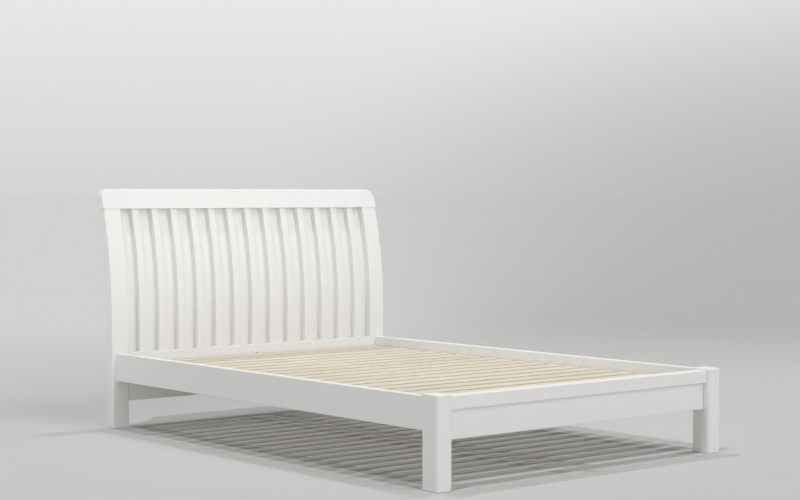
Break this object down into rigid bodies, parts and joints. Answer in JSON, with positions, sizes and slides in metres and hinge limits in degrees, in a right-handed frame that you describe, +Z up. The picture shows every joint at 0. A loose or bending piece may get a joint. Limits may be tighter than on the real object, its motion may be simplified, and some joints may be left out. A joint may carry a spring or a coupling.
{
  "type": "wooden bed",
  "caption": "White-painted wooden bed frame with a swept-back barred headboard, straight foot legs, hook-on side rails and a platform of bare pine slats for a mattress.",
  "frame": {"origin": "on the floor, in the middle of the overall box", "axes": "+X to the right seen from the foot, +Y from the foot to the headboard, +Z up"},
  "size_m": [1.508, 2.2425, 1.03],
  "materials": {
    "white_painted_wood": "sprayed satin white paint",
    "bare_pine": "planed, unfinished",
    "zinc_plated_steel": "pressed and zinc plated",
    "white_coated_steel": "pressed and powder coated white",
    "dowel_beech": "turned, unfinished"
  },
  "bodies": {
    "root": {"head_post_left": "white_painted_wood", "head_post_right": "white_painted_wood", "head_cap": "white_painted_wood", "headboard_panel": "white_painted_wood", "head_rail": "white_painted_wood", "foot_leg_left": "white_painted_wood", "foot_leg_right": "white_painted_wood", "foot_rail": "white_painted_wood", "foot_panel": "white_painted_wood", "side_rail_left": "white_painted_wood", "side_rail_right": "white_painted_wood", "headboard_bar_01": "white_painted_wood", "headboard_bar_02": "white_painted_wood", "headboard_bar_03": "white_painted_wood", "headboard_bar_04": "white_painted_wood", "headboard_bar_05": "white_painted_wood", "headboard_bar_06": "white_painted_wood", "headboard_bar_07": "white_painted_wood", "headboard_bar_08": "white_painted_wood", "headboard_bar_09": "white_painted_wood", "headboard_bar_10": "white_painted_wood", "headboard_bar_11": "white_painted_wood", "headboard_bar_12": "white_painted_wood", "headboard_bar_13": "white_painted_wood", "slat_01": "bare_pine", "slat_02": "bare_pine", "slat_03": "bare_pine", "slat_04": "bare_pine", "slat_05": "bare_pine", "slat_06": "bare_pine", "slat_07": "bare_pine", "slat_08": "bare_pine", "slat_09": "bare_pine", "slat_10": "bare_pine", "slat_11": "bare_pine", "slat_12": "bare_pine", "slat_13": "bare_pine", "slat_14": "bare_pine", "slat_15": "bare_pine", "slat_16": "bare_pine", "slat_17": "bare_pine", "slat_18": "bare_pine", "slat_19": "bare_pine", "slat_20": "bare_pine", "ledger_left": "bare_pine", "ledger_right": "bare_pine", "centre_beam": "bare_pine", "rail_hook_plates": "zinc_plated_steel", "post_slot_plates": "zinc_plated_steel", "plate_screws": "zinc_plated_steel", "slat_screws": "zinc_plated_steel", "ledger_screws": "zinc_plated_steel", "hanger_screws": "zinc_plated_steel", "beam_hanger_head": "white_coated_steel", "beam_hanger_foot": "white_coated_steel", "cap_dowels": "dowel_beech"}
  },
  "joints": []
}
